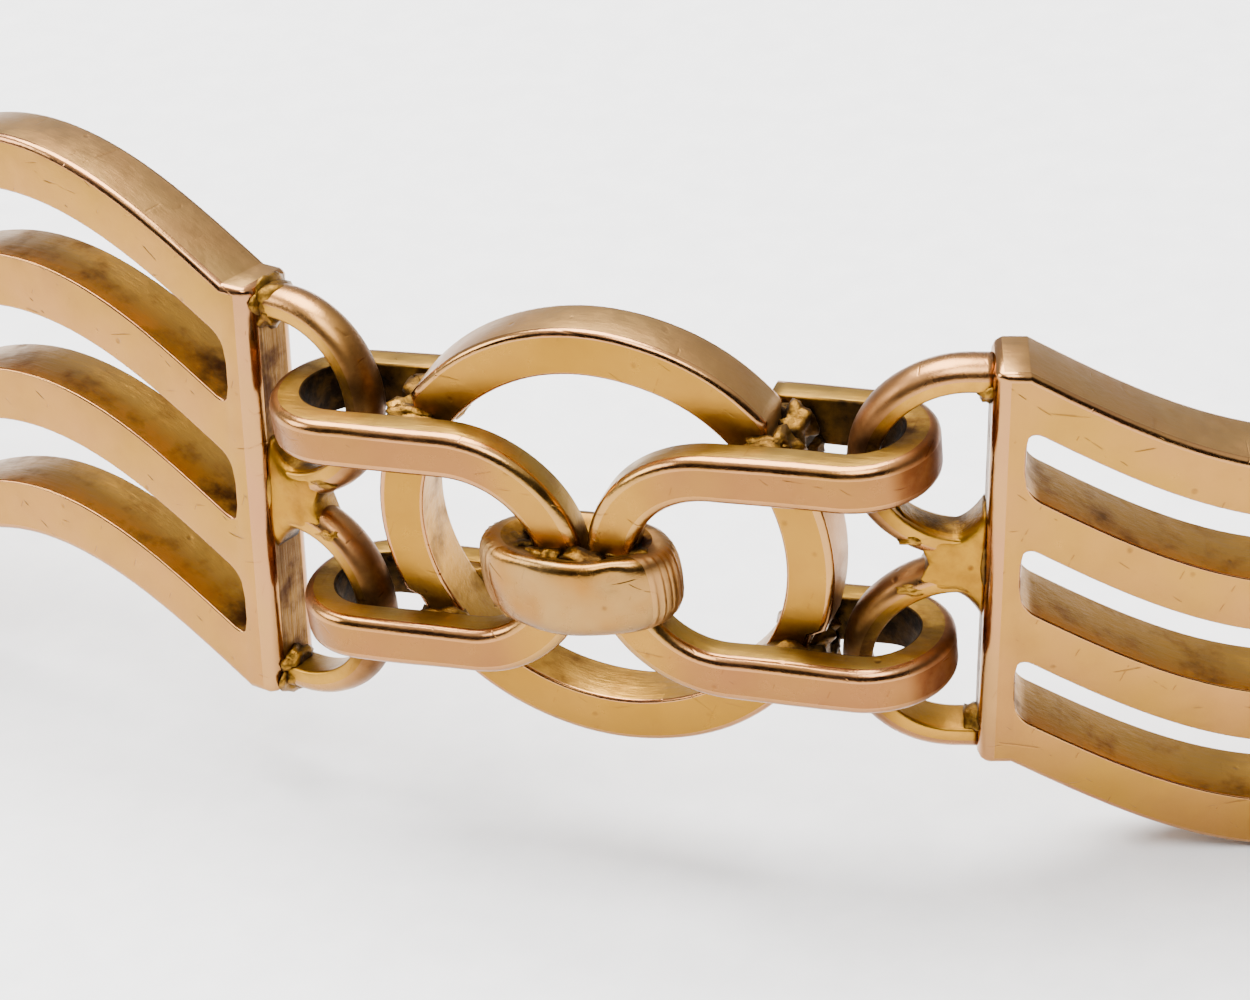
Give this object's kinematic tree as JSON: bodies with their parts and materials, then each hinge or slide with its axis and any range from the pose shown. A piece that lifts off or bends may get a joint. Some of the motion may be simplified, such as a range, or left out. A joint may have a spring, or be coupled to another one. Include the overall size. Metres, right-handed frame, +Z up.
{
  "type": "pocket watch chain",
  "caption": "Rose-gold gate-link watch chain: slotted wavy panels hinged to ring and hairpin knots, with a T-bar at one end and a sprung swivel clip at the other.",
  "frame": {"origin": "on the floor, at the centre of the standing chain's box", "axes": "+X along the chain from the T-bar to the clip, +Y away from the front of the arc, +Z up"},
  "size_m": [0.2128, 0.0814, 0.0129],
  "materials": {
    "rose_gold": "worn polish",
    "yellow_gold": "worn satin",
    "steel": "satin"
  },
  "bodies": {
    "panel_1": {"gate_1": "rose_gold", "gate_1_loops": "yellow_gold"},
    "panel_2": {"gate_2": "rose_gold", "gate_2_loops": "yellow_gold"},
    "panel_3": {"gate_3": "rose_gold", "gate_3_loops": "yellow_gold"},
    "panel_4": {"gate_4": "rose_gold", "gate_4_loops": "yellow_gold"},
    "panel_5": {"gate_5": "rose_gold", "gate_5_loops": "yellow_gold"},
    "panel_6": {"gate_6": "rose_gold", "gate_6_loops": "yellow_gold"},
    "knot_1": {"knot_1_ring": "rose_gold", "knot_1_hairpins": "rose_gold", "knot_1_collar": "rose_gold"},
    "knot_2": {"knot_2_ring": "rose_gold", "knot_2_hairpins": "rose_gold", "knot_2_collar": "rose_gold"},
    "knot_3": {"knot_3_ring": "rose_gold", "knot_3_hairpins": "rose_gold", "knot_3_collar": "rose_gold"},
    "knot_4": {"knot_4_ring": "rose_gold", "knot_4_hairpins": "rose_gold", "knot_4_collar": "rose_gold"},
    "knot_5": {"knot_5_ring": "rose_gold", "knot_5_hairpins": "rose_gold", "knot_5_collar": "rose_gold"},
    "bar_end": {"bar_end_ring": "rose_gold", "bar_end_hairpins": "rose_gold", "bar_end_collar": "rose_gold"},
    "clip_end": {"clip_end_ring": "rose_gold", "clip_end_hairpins": "rose_gold", "clip_end_collar": "rose_gold"},
    "bar_jump": {"bar_jump_ring": "rose_gold"},
    "bar": {"t_bar": "rose_gold", "bar_shackle": "rose_gold"},
    "clip_jump": {"clip_jump_ring": "rose_gold"},
    "link": {"clip_link": "rose_gold"},
    "swivel": {"swivel_eye": "rose_gold"},
    "clip": {"swivel_barrel": "rose_gold", "clip_hook": "rose_gold", "lever_pin": "rose_gold", "lever_spring": "steel"},
    "lever": {"clip_lever": "rose_gold"}
  },
  "joints": [
    {"name": "panel_4_swing", "type": "hinge", "parent": "knot_3", "child": "panel_4", "pos_m": [0.00653, -0.03842, 0.00696], "axis": [0.0799, -0.0333, 0.9962], "range_deg": [-60, 60]},
    {"name": "knot_4_swing", "type": "hinge", "parent": "panel_4", "child": "knot_4", "pos_m": [0.03178, -0.0304, 0.00521], "axis": [-0.0799, 0.0333, -0.9962], "range_deg": [-60, 60]},
    {"name": "panel_5_swing", "type": "hinge", "parent": "knot_4", "child": "panel_5", "pos_m": [0.04061, -0.0263, 0.0064], "axis": [0, 0, 1], "range_deg": [-60, 60]},
    {"name": "knot_5_swing", "type": "hinge", "parent": "panel_5", "child": "knot_5", "pos_m": [0.06287, -0.01184, 0.0064], "axis": [0, 0, -1], "range_deg": [-60, 60]},
    {"name": "panel_6_swing", "type": "hinge", "parent": "knot_5", "child": "panel_6", "pos_m": [0.07023, -0.00544, 0.0064], "axis": [0, 0, 1], "range_deg": [-60, 60]},
    {"name": "clip_end_swing", "type": "hinge", "parent": "panel_6", "child": "clip_end", "pos_m": [0.08765, 0.01459, 0.0064], "axis": [0, 0, -1], "range_deg": [-60, 60]},
    {"name": "panel_3_swing", "type": "hinge", "parent": "knot_3", "child": "panel_3", "pos_m": [-0.00322, -0.03842, 0.00656], "axis": [0.0216, 0.1113, 0.9935], "range_deg": [-60, 60]},
    {"name": "knot_2_swing", "type": "hinge", "parent": "panel_3", "child": "knot_2", "pos_m": [-0.02893, -0.03179, 0.00638], "axis": [-0.0216, -0.1113, -0.9935], "range_deg": [-60, 60]},
    {"name": "panel_2_swing", "type": "hinge", "parent": "knot_2", "child": "panel_2", "pos_m": [-0.03797, -0.02814, 0.0064], "axis": [0, 0, 1], "range_deg": [-60, 60]},
    {"name": "knot_1_swing", "type": "hinge", "parent": "panel_2", "child": "knot_1", "pos_m": [-0.06096, -0.01487, 0.0064], "axis": [0, 0, -1], "range_deg": [-60, 60]},
    {"name": "panel_1_swing", "type": "hinge", "parent": "knot_1", "child": "panel_1", "pos_m": [-0.06864, -0.00886, 0.0064], "axis": [0, 0, 1], "range_deg": [-60, 60]},
    {"name": "bar_end_swing", "type": "hinge", "parent": "panel_1", "child": "bar_end", "pos_m": [-0.08709, 0.01024, 0.0064], "axis": [0, 0, -1], "range_deg": [-60, 60]},
    {"name": "bar_jump_slide_round", "type": "hinge", "parent": "bar_end", "child": "bar_jump", "pos_m": [-0.08995, 0.01418, 0.0064], "axis": [-0.809, -0.5878, 0], "range_deg": [-90, 30]},
    {"name": "t_bar_swing", "type": "hinge", "parent": "bar_jump", "child": "bar", "pos_m": [-0.09359, 0.01919, 0.00155], "axis": [-0.809, -0.5878, 0], "range_deg": [-60, 40]},
    {"name": "clip_jump_slide_round", "type": "hinge", "parent": "clip_end", "child": "clip_jump", "pos_m": [0.09031, 0.01869, 0.0064], "axis": [-0.8387, 0.5446, 0], "range_deg": [-90, 30]},
    {"name": "clip_link_swing", "type": "hinge", "parent": "clip_jump", "child": "link", "pos_m": [0.09369, 0.02389, 0.00155], "axis": [-0.8387, 0.5446, 0], "range_deg": [-25, 25]},
    {"name": "clip_eye_swing", "type": "hinge", "parent": "link", "child": "swivel", "pos_m": [0.09497, 0.02586, 0.0016], "axis": [0, 0, 1], "range_deg": [-35, 35]},
    {"name": "clip_swivel", "type": "hinge", "parent": "swivel", "child": "clip", "pos_m": [0.09673, 0.02857, 0.0016], "axis": [0.5446, 0.8387, 0], "continuous": true},
    {"name": "lever_press", "type": "hinge", "parent": "clip", "child": "lever", "pos_m": [0.09733, 0.03353, 0.0016], "axis": [0, 0, -1], "range_deg": [0, 22], "stiffness_Nm_per_rad": 0.002, "springref_deg": -8.59}
  ]
}
